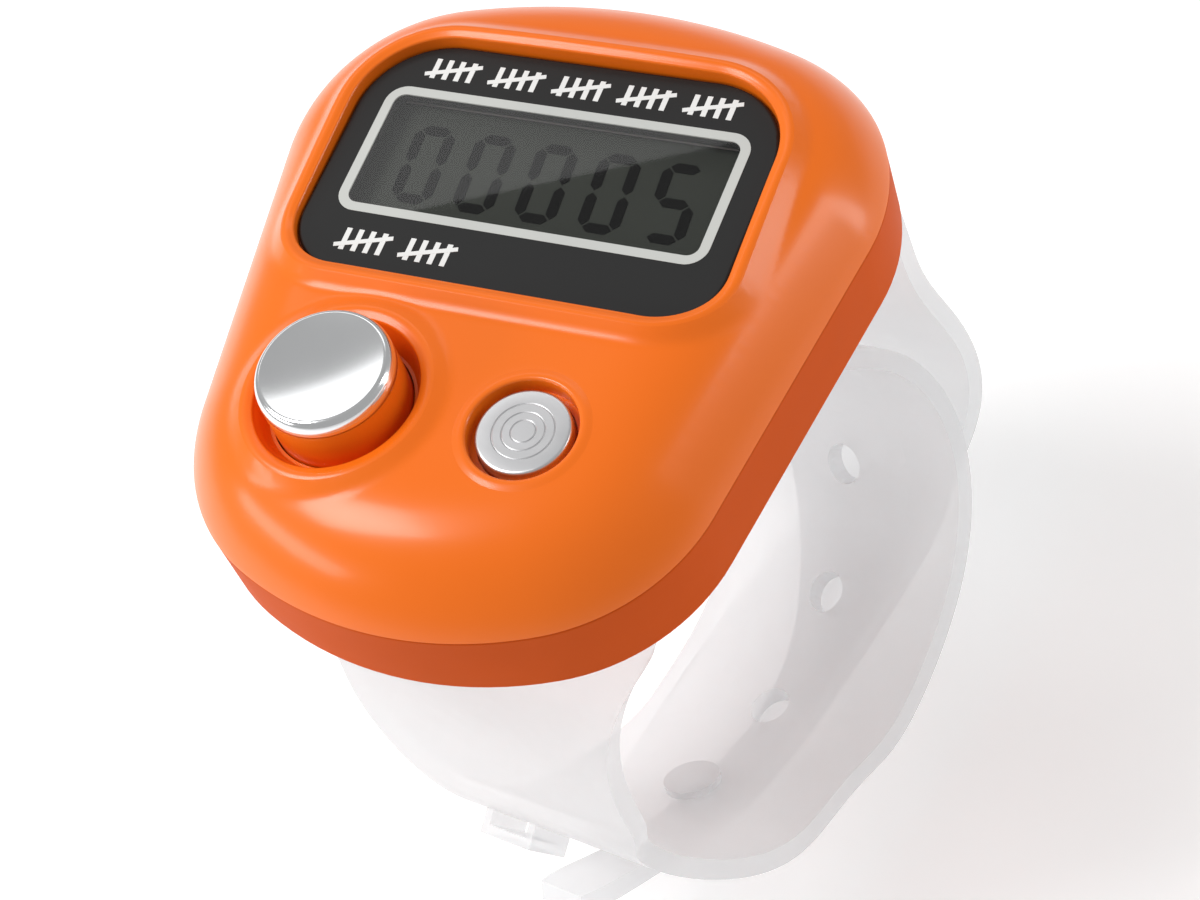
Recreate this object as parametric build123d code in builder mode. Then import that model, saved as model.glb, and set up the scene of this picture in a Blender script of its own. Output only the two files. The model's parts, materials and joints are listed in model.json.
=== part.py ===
"""Finger-worn hand tally counter with a digital display, two push buttons and a flexible band.

Millimetres, +Z out of the display face, +Y towards the display end, +X along a line of digits.
The origin is the centre of the case back, which rests on the finger.
"""

from build123d import *
from math import acos, atan2, cos, degrees, radians, sin, sqrt
import os

os.makedirs("parts", exist_ok=True)

# Case
body_length = 40.0
end_r = 34.0
corner_r = 10.5
corner_x = 6.77
low_corner_r = 11.0
low_corner_x = 3.74
low_end_r = 20.0
parting_z = 4.7
dome_rise = 4.4
dome_foot = 0.1
wall = 1.2
floor_t = 1.2
shell_edge_r = 0.2
base_edge_r = 0.3
boss_r = 1.8
boss_length = 2.9
boss_bore_r = 0.67
boss_bore_depth = 2.0
board_boss_r = 1.3
board_boss_length = 2.7
board_bore_r = 0.52
board_bore_depth = 1.4
clear_depth = 5.0

# Display panel, a rounded rectangle with larger corners at the top
panel_half_width = 12.2
panel_bottom_y = -1.93
panel_top_y = 13.45
panel_low_corner = 3.4
panel_high_corner = 4.8
panel_face_z = 8.57
panel_t = 0.6
panel_gap = 0.1
lip_width = 1.3
lip_z = 9.6
lip_edge_r = 0.6
recess_pad_t = 0.8
panel_edge_r = 0.2

# Display window and the cell under it
window_y = 6.07
frame_length = 21.3
frame_height = 8.5
frame_line = 0.55
frame_proud = 0.02
frame_corner = 1.2
cell_y = 5.95
cell_length = 21.8
cell_height = 9.8
rear_glass_height = 8.2
glass_t = 0.4
segment_film_t = 0.04
polarizer_t = 0.12
cell_top_z = 7.92
cell_opening_gap = 0.2
cell_opening_corner = 0.8
strip_offset_y = 4.5
strip_t = 0.7

# Digits
digit_count = 5
digits_x = -0.1
digits_y = 6.2
digit_pitch = 3.65
digit_height = 5.15
digit_width = 2.4
segment_w = 0.6
segment_gap = 0.16
digit_slant_deg = -3.5

# Buttons
press_travel = 0.4
count_x = -5.1
count_y = -9.5
count_r = 3.68
count_top_z = 11.5
count_cap_t = 1.0
crater_r = 4.4
crater_floor_z = 7.9
crater_lip_r = 5.3
crater_lip_z = 9.3
reset_x = 5.3
reset_y = -9.5
reset_r = 2.5
reset_top_z = 8.9
reset_cap_t = 0.8
reset_well_r = 2.9
button_gap = 0.08

# Board, switches and small parts
board_z = 4.6
board_t = 0.8
board_inset = 1.9
board_top_z = board_z + board_t
switch_side = 4.0
switch_t = 0.8
switch_tip_r = 1.0
switch_tip_top_z = 6.7

# Battery and its door
battery_y = 1.8
battery_r = 5.8
battery_t = 3.05
cradle_r = 6.1
cradle_wall = 0.8
cradle_height = 2.6
door_t = 1.0
door_length = 17.6
door_width = 13.0
door_y = 0.3
door_corner = 1.5
door_gap = 0.1
door_ledge = 1.0
door_ledge_t = 0.7
door_screw_y = -6.3
groove_pitch = 0.9

# Screws
case_screw_top = (13.6, 11.6)
case_screw_low = (11.6, -9.2)
board_screw_side = (13.7, 2.6)
board_screw_low = (0.0, -15.6)
case_head_z = 0.4
case_head_r = 1.25
case_head_t = 0.9
case_shank_r = 0.65
screw_gap = 0.15

# Band
band_width = 18.5
band_t = 1.2
tongue_width = 3.5
loop_centre = Vector(3.6, -0.7, -21.5)
loop_half_width = 16.2
loop_half_height = 12.4
loop_yaw = 13.0
loop_lean = 20.0
anchor_low_y = -13.6
anchor_high_y = 14.2
anchor_head = (20.4, 2.6)
anchor_slot = (19.0, 1.6)
stub_drop = 0.9
hole_r = 1.3
hole_angles = (-92.0, -62.0, -28.0, 8.0)
peg_angle = -119.5
peg_r = 1.2
peg_head_r = 1.75
band_sections = 15

# Solids placed with their base on the given point
seated = (Align.CENTER, Align.CENTER, Align.MIN)

case_screw_spots = [
    (side * x, y) for side in (-1, 1) for x, y in (case_screw_top, case_screw_low)
]
board_screw_spots = [
    (board_screw_side[0], board_screw_side[1]),
    (-board_screw_side[0], board_screw_side[1]),
    board_screw_low,
]


# Each corner arc touches its end arc from inside, and one line touches both corner arcs
corner_y = body_length / 2 - end_r + sqrt((end_r - corner_r) ** 2 - corner_x**2)
low_corner_y = low_end_r - body_length / 2 - sqrt((low_end_r - low_corner_r) ** 2 - low_corner_x**2)
corner_rise = corner_y - low_corner_y
corner_step = corner_x - low_corner_x
corner_distance = sqrt(corner_rise**2 + corner_step**2)
side_lean = degrees(acos((low_corner_r - corner_r) / corner_distance) - atan2(corner_rise, corner_step))


def case_face(inset):
    """Case outline drawn in by inset, as a face in the sketch being built."""
    end = end_r - inset
    corner = corner_r - inset
    low_corner = low_corner_r - inset
    low_end = low_end_r - inset
    end_centre = (0, body_length / 2 - end_r)
    low_end_centre = (0, low_end_r - body_length / 2)
    side_turn = radians(side_lean)
    side_start = (
        corner_x + corner * cos(side_turn),
        corner_y - corner * sin(side_turn),
    )
    side_end = (
        low_corner_x + low_corner * cos(side_turn),
        low_corner_y - low_corner * sin(side_turn),
    )
    corner_turn = degrees(atan2(corner_y - end_centre[1], corner_x))
    low_turn = degrees(atan2(low_end_centre[1] - low_corner_y, low_corner_x))
    with BuildLine() as outline:
        CenterArc(end_centre, end, 90, corner_turn - 90)
        CenterArc((corner_x, corner_y), corner, corner_turn, -side_lean - corner_turn)
        Line(side_start, side_end)
        CenterArc((low_corner_x, low_corner_y), low_corner, -side_lean, side_lean - low_turn)
        CenterArc(low_end_centre, low_end, -low_turn, low_turn - 90)
        mirror(about=Plane.YZ)
    make_face(outline.edges())


def panel_face(grow):
    """Display panel outline, grown by grow, in the sketch being built."""
    half = panel_half_width + grow
    low = panel_bottom_y - grow
    high = panel_top_y + grow
    with BuildLine() as outline:
        corners = FilletPolyline(
            (0, low), (half, low), (half, high), (0, high),
            radius=(panel_low_corner + grow, panel_high_corner + grow),
        )
        mirror(corners, about=Plane.YZ)
    make_face(outline.edges())


# ---------------------------------------------------------------- case, upper half
with BuildPart() as top_shell:
    with BuildSketch(Plane.XY.offset(parting_z)):
        case_face(0)
    extrude(amount=dome_rise)
    fillet(top_shell.edges().group_by(Axis.Z)[-1], dome_rise - dome_foot)
    with BuildSketch(Plane.XY.offset(parting_z)):
        case_face(wall)
    hollow = extrude(amount=dome_rise - wall, mode=Mode.PRIVATE)
    hollow = hollow.fillet(dome_rise - wall - dome_foot, hollow.edges().group_by(Axis.Z)[-1])
    add(hollow, mode=Mode.SUBTRACT)
    with BuildSketch(Plane.XY.offset(cell_top_z)):
        panel_face(lip_width)
    extrude(amount=lip_z - cell_top_z)
    lip_edges = top_shell.faces().sort_by(Axis.Z)[-1].edges()
    fillet(lip_edges, lip_edge_r)
    with Locations((count_x, count_y, crater_floor_z)):
        Cylinder(crater_lip_r, crater_lip_z - crater_floor_z, align=seated)
    # Thick pad under the panel recess, and the collar under the count button's crater
    with BuildSketch(Plane.XY.offset(panel_face_z - panel_t - recess_pad_t)):
        panel_face(lip_width)
    extrude(amount=recess_pad_t + panel_t / 2)
    with Locations((count_x, count_y, crater_floor_z - wall)):
        Cylinder(crater_lip_r, wall, align=seated)
    # Screw bosses
    with BuildSketch(Plane.XY.offset(parting_z)):
        with Locations(*case_screw_spots):
            Circle(boss_r)
    extrude(amount=boss_length)
    with BuildSketch(Plane.XY.offset(board_top_z)):
        with Locations(*board_screw_spots):
            Circle(board_boss_r)
    extrude(amount=board_boss_length)
    # Panel recess and the opening for the display cell
    with BuildSketch(Plane.XY.offset(panel_face_z - panel_t)):
        panel_face(panel_gap)
    extrude(amount=clear_depth, mode=Mode.SUBTRACT)
    with BuildSketch(Plane.XY.offset(board_top_z)):
        with Locations((0, cell_y)):
            RectangleRounded(
                cell_length + 2 * cell_opening_gap,
                cell_height + 2 * cell_opening_gap,
                cell_opening_corner,
            )
    extrude(amount=clear_depth, mode=Mode.SUBTRACT)
    # Crater and bore of the count button
    with Locations((count_x, count_y, crater_floor_z)):
        Cylinder(crater_r, clear_depth, align=seated, mode=Mode.SUBTRACT)
    with Locations((count_x, count_y, board_top_z)):
        Cylinder(count_r + button_gap, clear_depth, align=seated, mode=Mode.SUBTRACT)
    # Well and bore of the reset button
    with Locations((reset_x, reset_y, board_top_z)):
        Cylinder(reset_r + button_gap, clear_depth, align=seated, mode=Mode.SUBTRACT)
    with Locations((reset_x, reset_y, reset_top_z - reset_cap_t)):
        Cylinder(reset_well_r, clear_depth, align=seated, mode=Mode.SUBTRACT)
    # Screw holes from below
    with BuildSketch(Plane.XY.offset(parting_z)):
        with Locations(*case_screw_spots):
            Circle(boss_bore_r)
    extrude(amount=boss_bore_depth, mode=Mode.SUBTRACT)
    with BuildSketch(Plane.XY.offset(board_top_z)):
        with Locations(*board_screw_spots):
            Circle(board_bore_r)
    extrude(amount=board_bore_depth, mode=Mode.SUBTRACT)

# ---------------------------------------------------------------- case, lower half
with BuildPart() as bottom_shell:
    with BuildSketch():
        case_face(0)
    extrude(amount=parting_z)
    fillet(bottom_shell.edges().group_by(Axis.Z)[-1], shell_edge_r)
    fillet(bottom_shell.edges().group_by(Axis.Z)[0], base_edge_r)
    with BuildSketch(Plane.XY.offset(floor_t)):
        case_face(wall)
    extrude(amount=parting_z, mode=Mode.SUBTRACT)
    # Thicker floor round the battery door, and the battery cradle
    with BuildSketch(Plane.XY.offset(floor_t)):
        with Locations((0, door_y)):
            RectangleRounded(door_width + 2 * door_ledge, door_length + 2 * door_ledge, door_corner + door_ledge)
    extrude(amount=door_ledge_t)
    with BuildSketch(Plane.XY.offset(floor_t)):
        with Locations((0, battery_y)):
            Circle(cradle_r + cradle_wall)
    extrude(amount=cradle_height)
    with BuildSketch(Plane.XY.offset(floor_t)):
        with Locations(*case_screw_spots):
            Circle(boss_r)
    extrude(amount=parting_z - floor_t)
    # Door pocket, battery well and the notch for the side contact
    with BuildSketch():
        with Locations((0, door_y)):
            RectangleRounded(door_width + door_gap, door_length + door_gap, door_corner)
    extrude(amount=door_t, mode=Mode.SUBTRACT)
    with Locations((0, battery_y, 0)):
        Cylinder(cradle_r, clear_depth, align=seated, mode=Mode.SUBTRACT)
    with Locations((battery_r + 1, battery_y, door_t + door_ledge_t)):
        Box(3, 4, clear_depth, align=seated, mode=Mode.SUBTRACT)
    # Slots that the band ends pass through
    with BuildSketch():
        with Locations((0, anchor_low_y), (0, anchor_high_y)):
            Rectangle(*anchor_slot)
    extrude(amount=floor_t, mode=Mode.SUBTRACT)
    # Screw holes
    with BuildSketch():
        with Locations(*case_screw_spots):
            Circle(case_head_r + screw_gap)
    extrude(amount=case_head_z + case_head_t, mode=Mode.SUBTRACT)
    with BuildSketch():
        with Locations(*case_screw_spots):
            Circle(case_shank_r + screw_gap)
    extrude(amount=parting_z, mode=Mode.SUBTRACT)
    with Locations((0, door_screw_y, 0)):
        Cylinder(board_bore_r, floor_t + door_ledge_t, align=seated, mode=Mode.SUBTRACT)

# ---------------------------------------------------------------- display panel
with BuildPart() as bezel_plate:
    with BuildSketch(Plane.XY.offset(panel_face_z - panel_t)):
        panel_face(0)
        with Locations((0, window_y)):
            RectangleRounded(frame_length, frame_height, frame_corner, mode=Mode.SUBTRACT)
    extrude(amount=panel_t)
    top_edges = bezel_plate.faces().sort_by(Axis.Z)[-1].outer_wire().edges()
    fillet(top_edges, panel_edge_r)

with BuildPart() as silver_frame:
    with BuildSketch(Plane.XY.offset(panel_face_z - panel_t)):
        with Locations((0, window_y)):
            RectangleRounded(frame_length, frame_height, frame_corner)
            RectangleRounded(
                frame_length - 2 * frame_line,
                frame_height - 2 * frame_line,
                frame_corner - frame_line,
                mode=Mode.SUBTRACT,
            )
    extrude(amount=panel_t + frame_proud)

with BuildPart() as window_lens:
    with BuildSketch(Plane.XY.offset(panel_face_z - panel_t)):
        with Locations((0, window_y)):
            RectangleRounded(
                frame_length - 2 * frame_line,
                frame_height - 2 * frame_line,
                frame_corner - frame_line,
            )
    extrude(amount=panel_t)

# ---------------------------------------------------------------- display cell
polarizer_z = cell_top_z - polarizer_t
front_glass_z = polarizer_z - glass_t
segment_z = front_glass_z - segment_film_t
rear_glass_z = segment_z - glass_t
reflector_z = rear_glass_z - polarizer_t

with BuildPart() as lcd_polarizer:
    with BuildSketch(Plane.XY.offset(polarizer_z)):
        with Locations((0, cell_y)):
            Rectangle(cell_length - 0.4, cell_height - 0.8)
    extrude(amount=polarizer_t)

with BuildPart() as lcd_front_glass:
    with BuildSketch(Plane.XY.offset(front_glass_z)):
        with Locations((0, cell_y)):
            Rectangle(cell_length, cell_height)
    extrude(amount=glass_t)

with BuildPart() as lcd_rear_glass:
    with BuildSketch(Plane.XY.offset(rear_glass_z)):
        with Locations((0, cell_y)):
            Rectangle(cell_length, rear_glass_height)
    extrude(amount=glass_t)

with BuildPart() as lcd_reflector:
    with BuildSketch(Plane.XY.offset(reflector_z)):
        with Locations((0, cell_y)):
            Rectangle(cell_length - 0.4, rear_glass_height - 0.2)
    extrude(amount=polarizer_t)


def segment_bar(length):
    """One display segment: a bar with pointed ends, along X."""
    half = length / 2
    rise = segment_w / 2
    with BuildLine() as outline:
        Polyline((-half, 0), (-half + rise, rise), (half - rise, rise), (half, 0),
                 (half - rise, -rise), (-half + rise, -rise), close=True)
    make_face(outline.edges())


bar_length = digit_width - segment_w - segment_gap
post_length = (digit_height - segment_w) / 2 - segment_gap
# Each segment's place in a digit, in half digit widths and quarter heights, and whether it stands up
segment_places = {
    "a": (0, 2, False), "b": (1, 1, True), "c": (1, -1, True), "d": (0, -2, False),
    "e": (-1, -1, True), "f": (-1, 1, True), "g": (0, 0, False),
}
lit_segments = ["abcdef"] * (digit_count - 1) + ["acdfg"]

with BuildPart() as lcd_segments:
    with BuildSketch(Plane.XY.offset(segment_z)):
        for place, letters in enumerate(lit_segments):
            digit_x = digits_x + (place - (digit_count - 1) / 2) * digit_pitch
            for letter in letters:
                column, row, upright = segment_places[letter]
                bar_y = row * (digit_height - segment_w) / 4
                slant = bar_y * sin(radians(digit_slant_deg))
                bar_x = digit_x + column * (digit_width - segment_w) / 2 + slant
                turn = 90 - digit_slant_deg if upright else 0
                with Locations(Location((bar_x, digits_y + bar_y), turn)):
                    with BuildSketch(mode=Mode.PRIVATE) as bar:
                        segment_bar(post_length if upright else bar_length)
                    add(bar.sketch)
    extrude(amount=segment_film_t)

with BuildPart() as lcd_holder:
    with BuildSketch(Plane.XY.offset(board_top_z)):
        with Locations((0, cell_y)):
            Rectangle(cell_length, rear_glass_height - 0.1)
            Rectangle(cell_length - 2, rear_glass_height - 2.1, mode=Mode.SUBTRACT)
    extrude(amount=reflector_z - board_top_z)

with BuildPart() as contact_strips:
    with BuildSketch(Plane.XY.offset(board_top_z)):
        with Locations((0, cell_y - strip_offset_y), (0, cell_y + strip_offset_y)):
            Rectangle(cell_length - 1, strip_t)
    extrude(amount=front_glass_z - board_top_z)

# ---------------------------------------------------------------- board and its parts
with BuildPart() as circuit_board:
    with BuildSketch(Plane.XY.offset(board_z)):
        case_face(board_inset)
        with Locations(*case_screw_spots):
            Circle(boss_r + 0.4, mode=Mode.SUBTRACT)
        with Locations(*board_screw_spots):
            Circle(0.6, mode=Mode.SUBTRACT)
    extrude(amount=board_t)

with BuildPart() as chip_blob:
    with Locations((1.3, -3.2, board_top_z - 1.6)):
        Sphere(2.6)
    split(bisect_by=Plane.XY.offset(board_top_z), keep=Keep.TOP)

with BuildPart() as resistors:
    with Locations((-9.4, -2.6, board_top_z), (-6.6, -2.6, board_top_z), (8.2, -3.4, board_top_z)):
        Box(1.6, 0.8, 0.5, align=seated)


def switch_body(x, y):
    """Low push switch with a blind bore for its tip."""
    with Locations((x, y, board_top_z)):
        Box(switch_side, switch_side, switch_t, align=seated)
    with Locations((x, y, board_top_z + 0.1)):
        Cylinder(switch_tip_r + 0.05, 2, align=seated, mode=Mode.SUBTRACT)


def switch_tip(x, y):
    """Moving tip of a push switch."""
    bottom = board_top_z + 0.1 + press_travel + 0.1
    with Locations((x, y, bottom)):
        Cylinder(switch_tip_r, switch_tip_top_z - bottom, align=seated)


with BuildPart() as count_switch:
    switch_body(count_x, count_y)

with BuildPart() as count_switch_tip:
    switch_tip(count_x, count_y)

with BuildPart() as reset_switch:
    switch_body(reset_x, reset_y)

with BuildPart() as reset_switch_tip:
    switch_tip(reset_x, reset_y)

# ---------------------------------------------------------------- count button
count_cap_z = count_top_z - count_cap_t
plunger_base_z = 6.05
with BuildPart() as count_plunger:
    with Locations((count_x, count_y, plunger_base_z)):
        Cylinder(count_r, count_cap_z - plunger_base_z, align=seated)
        Cylinder(4.5, 0.55, align=seated)
        Cylinder(3.0, 2.1, align=seated, mode=Mode.SUBTRACT)
    with Locations((count_x, count_y, switch_tip_top_z)):
        Cylinder(1.2, 1.6, align=seated)
    with Locations((count_x, count_y, count_cap_z - 1.2)):
        Cylinder(2.2, 2, align=seated, mode=Mode.SUBTRACT)

# The cap's top is dished like a shallow bowl, part of a sphere
dish_depth = 0.22
dish_rim = count_r - 0.3
dish_sphere_r = (dish_rim**2 + dish_depth**2) / (2 * dish_depth)
dish_mid_z = count_top_z - dish_depth + dish_sphere_r - sqrt(dish_sphere_r**2 - (dish_rim / 2) ** 2)

with BuildPart() as count_cap:
    with BuildSketch(Plane(origin=(count_x, count_y, 0), x_dir=(1, 0, 0), z_dir=(0, -1, 0))):
        with BuildLine():
            Polyline(
                (0, count_cap_z - 1.1), (2.15, count_cap_z - 1.1), (2.15, count_cap_z),
                (count_r, count_cap_z), (count_r, count_top_z - 0.3), (count_r - 0.3, count_top_z),
            )
            ThreePointArc((dish_rim, count_top_z), (dish_rim / 2, dish_mid_z), (0, count_top_z - dish_depth))
            Line((0, count_top_z - dish_depth), (0, count_cap_z - 1.1))
        make_face()
    revolve(axis=Axis((count_x, count_y, 0), (0, 0, 1)))

# ---------------------------------------------------------------- reset button
reset_cap_z = reset_top_z - reset_cap_t
with BuildPart() as reset_plunger:
    with Locations((reset_x, reset_y, switch_tip_top_z)):
        Cylinder(1.2, 0.8, align=seated)
    with Locations((reset_x, reset_y, 7.15)):
        Cylinder(3.3, 0.6, align=seated)
        Cylinder(reset_r, reset_cap_z - 7.15, align=seated)

with BuildPart() as reset_cap:
    with Locations((reset_x, reset_y, reset_cap_z)):
        Cylinder(reset_r, reset_cap_t, align=seated)
    chamfer(reset_cap.edges().group_by(Axis.Z)[-1], 0.18)
    # Three fine engraved circles
    with BuildSketch(Plane.XY.offset(reset_top_z)):
        for ring_r in (0.65, 1.12, 1.62):
            with Locations((reset_x, reset_y)):
                Circle(ring_r + 0.04)
                Circle(ring_r - 0.04, mode=Mode.SUBTRACT)
    extrude(amount=-0.05, mode=Mode.SUBTRACT)

# ---------------------------------------------------------------- battery
with BuildPart() as battery:
    with Locations((0, battery_y, door_t)):
        Cylinder(battery_r, battery_t, align=seated)
    chamfer(battery.edges(), 0.2)

with BuildPart() as battery_negative_contact:
    with BuildSketch(Plane.XZ.offset(-battery_y)):
        with BuildLine():
            Polyline(
                (-4, 4.6), (4, 4.6), (4, 4.45), (2.6, 4.45), (0.4, 4.05),
                (-0.4, 4.05), (-2.6, 4.45), (-4, 4.45), close=True,
            )
        make_face()
        with BuildLine():
            Polyline((2.1, 4.46), (0.35, 4.2), (-0.35, 4.2), (-2.1, 4.46), close=True)
        make_face(mode=Mode.SUBTRACT)
    extrude(amount=1.2, both=True)

with BuildPart() as battery_positive_contact:
    with BuildSketch(Plane.XZ.offset(-battery_y)):
        with BuildLine():
            Polyline(
                (battery_r, 2.1), (battery_r + 0.2, 2.1), (battery_r + 0.2, 4.4),
                (8.6, 4.4), (8.6, 4.6), (battery_r, 4.6), close=True,
            )
        make_face()
    extrude(amount=1.0, both=True)

with BuildPart() as battery_door:
    with BuildSketch():
        with Locations((0, door_y)):
            RectangleRounded(door_width, door_length, door_corner - door_gap / 2)
    extrude(amount=door_t)
    with Locations((0, door_screw_y, 0)):
        Cylinder(1.15, 0.6, align=seated, mode=Mode.SUBTRACT)
        Cylinder(0.6, 2, align=seated, mode=Mode.SUBTRACT)
    # Finger grooves across the far end
    with BuildSketch():
        for groove in range(3):
            with Locations((0, door_y + 5.6 + groove_pitch * groove)):
                RectangleRounded(6, 0.4, 0.19)
    extrude(amount=0.25, mode=Mode.SUBTRACT)


def screw(x, y, head_z, head_r, head_t, shank_r, shank_length):
    """Pan-head screw driven upwards, with a cross slot in its head."""
    with Locations((x, y, head_z)):
        Cylinder(head_r, head_t, align=seated)
        Cylinder(shank_r, head_t + shank_length, align=seated)
        Box(1.2 * head_r, 0.25, 0.3, align=seated, mode=Mode.SUBTRACT)
        Box(0.25, 1.2 * head_r, 0.3, align=seated, mode=Mode.SUBTRACT)


with BuildPart() as battery_door_screw:
    screw(0, door_screw_y, 0.05, 1.05, 0.55, 0.5, 1.2)

with BuildPart() as case_screws:
    for spot_x, spot_y in case_screw_spots:
        screw(spot_x, spot_y, case_head_z, case_head_r, case_head_t, case_shank_r, 5.2)

with BuildPart() as board_screws:
    for spot_x, spot_y in board_screw_spots:
        screw(spot_x, spot_y, board_z - 0.6, 1.0, 0.6, 0.5, 2.1)

# ---------------------------------------------------------------- band
yaw = radians(loop_yaw)
lean = radians(loop_lean)
loop_axis = Vector(cos(lean) * cos(yaw), -cos(lean) * sin(yaw), sin(lean))
loop_side = Vector(0, 0, 1).cross(loop_axis).normalized()
loop_up = loop_axis.cross(loop_side)
case_across = Vector(1, 0, 0)


def loop_point(angle, offset=0.0):
    """Point on the leaning oval that the worn band follows; angle 0 is its display-end side."""
    turn = radians(angle)
    along = (loop_half_width + offset) * cos(turn)
    up = (loop_half_height + offset) * sin(turn)
    return loop_centre + loop_side * along + loop_up * up


def loop_outward(angle):
    """Direction straight out of the oval at an angle."""
    turn = radians(angle)
    out = loop_side * (cos(turn) / loop_half_width) + loop_up * (sin(turn) / loop_half_height)
    return out.normalized()


def band_faces(path, width_at, settle):
    """Cross-sections of a band along its path; its width turns from the case's X to the loop's axis."""
    faces = []
    for step in range(band_sections):
        t = step / (band_sections - 1)
        blend = min(1, t / settle)
        blend = blend * blend * (3 - 2 * blend)
        across = case_across * (1 - blend) + loop_axis * blend
        run = path.tangent_at(t)
        across = (across - run * across.dot(run)).normalized()
        plane = Plane(origin=path.position_at(t), x_dir=across, z_dir=run)
        with BuildSketch(plane) as section:
            Rectangle(width_at(t), band_t)
        faces.append(section.sketch)
    return faces


def fade(value, start, end):
    """Smooth step from 0 at start to 1 at end."""
    x = min(1, max(0, (value - start) / (end - start)))
    return x * x * (3 - 2 * x)


def band_end(slot_y):
    """Straight stub through the case's slot, with the wide head that holds it inside."""
    with BuildSketch(Plane.XY.offset(-stub_drop - 0.3)) as stub:
        with Locations((0, slot_y)):
            Rectangle(band_width, band_t)
    extrude(stub.sketch, amount=floor_t + stub_drop + 0.5)
    with BuildSketch(Plane.XY.offset(floor_t + 0.05)) as head:
        with Locations((0, slot_y)):
            RectangleRounded(*anchor_head, 0.5)
    extrude(head.sketch, amount=1.1)


long_points = [Vector(0, anchor_low_y, -stub_drop), Vector(0, -14.5, -3.2), Vector(0.1, -16.0, -8.0)]
long_points += [loop_point(angle) for angle in (-184, -157, -130, -103, -76, -49, -22, 5, 32, 56, 78)]
long_path = Spline(*long_points)

with BuildPart() as strap_long:
    loft(band_faces(long_path, lambda t: band_width - 2.5 * fade(t, 0.93, 1.0), 0.2))
    band_end(anchor_low_y)
    for angle in hole_angles + (peg_angle,):
        outward = loop_outward(angle)
        hole_plane = Plane(origin=loop_point(angle), x_dir=loop_axis, z_dir=outward)
        with BuildSketch(hole_plane.offset(-2)):
            Circle(hole_r)
        extrude(amount=4, mode=Mode.SUBTRACT)
    # Keeper: a low arch moulded on the outside of the left-hand run
    keeper_angle = -160
    keeper_out = loop_outward(keeper_angle)
    keeper_plane = Plane(
        origin=loop_point(keeper_angle) + loop_axis * -4.2,
        x_dir=loop_axis,
        z_dir=keeper_out,
    )
    with BuildSketch(keeper_plane.offset(band_t / 2 - 0.3)):
        with Locations((-1.9, 0), (1.9, 0)):
            Rectangle(0.6, 3.0)
    extrude(amount=1.1)
    with BuildSketch(keeper_plane.offset(band_t / 2 + 0.7)):
        Rectangle(4.4, 3.0)
    extrude(amount=0.6)

short_points = [Vector(0, anchor_high_y, -stub_drop), Vector(0.9, 16.2, -2.9), Vector(2.9, 18.9, -6.3)]
# How far the outer end stands out from the oval, by angle
outer_gaps = (
    (22, 4.6), (2, 3.9), (-22, 2.4), (-46, 1.6), (-72, 1.35), (-96, 1.3), (-120, 1.3), (-140, 2.0),
)
short_points += [loop_point(angle, gap) for angle, gap in outer_gaps]
tongue_tip = loop_point(-158, 4.0)
short_points += [tongue_tip]
short_path = Spline(*short_points)


def short_width(t):
    """Full width near the case, narrowing to the tongue on the way round the bottom."""
    return band_width - (band_width - tongue_width) * fade(t, 0.3, 0.72)


with BuildPart() as strap_short:
    loft(band_faces(short_path, short_width, 0.3))
    band_end(anchor_high_y)
    # Peg that comes in through the fourth hole, with its flat head inside the loop
    peg_plane = Plane(
        origin=loop_point(peg_angle, 1.3),
        x_dir=loop_axis,
        z_dir=loop_outward(peg_angle) * -1,
    )
    with BuildSketch(peg_plane):
        Circle(peg_r)
    extrude(amount=1.3 + band_t / 2 + 0.3)
    with BuildSketch(peg_plane.offset(1.3 + band_t / 2 + 0.25)):
        Circle(peg_head_r)
    extrude(amount=0.45)

pieces = {
    "top_shell": top_shell,
    "bottom_shell": bottom_shell,
    "bezel_plate": bezel_plate,
    "silver_frame": silver_frame,
    "window_lens": window_lens,
    "lcd_polarizer": lcd_polarizer,
    "lcd_front_glass": lcd_front_glass,
    "lcd_segments": lcd_segments,
    "lcd_rear_glass": lcd_rear_glass,
    "lcd_reflector": lcd_reflector,
    "lcd_holder": lcd_holder,
    "contact_strips": contact_strips,
    "circuit_board": circuit_board,
    "chip_blob": chip_blob,
    "resistors": resistors,
    "count_switch": count_switch,
    "count_switch_tip": count_switch_tip,
    "reset_switch": reset_switch,
    "reset_switch_tip": reset_switch_tip,
    "count_plunger": count_plunger,
    "count_cap": count_cap,
    "reset_plunger": reset_plunger,
    "reset_cap": reset_cap,
    "battery": battery,
    "battery_negative_contact": battery_negative_contact,
    "battery_positive_contact": battery_positive_contact,
    "battery_door": battery_door,
    "battery_door_screw": battery_door_screw,
    "case_screws": case_screws,
    "board_screws": board_screws,
    "strap_long": strap_long,
    "strap_short": strap_short,
}
for piece_name, piece in pieces.items():
    piece.part.label = piece_name
    export_step(piece.part, f"parts/{piece_name}.step")
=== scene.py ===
import json
from math import atan2, cos, degrees, pi, radians, sin, sqrt

import bpy
import numpy as np
from mathutils import Matrix, Vector
from mathutils.geometry import delaunay_2d_cdt


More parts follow.
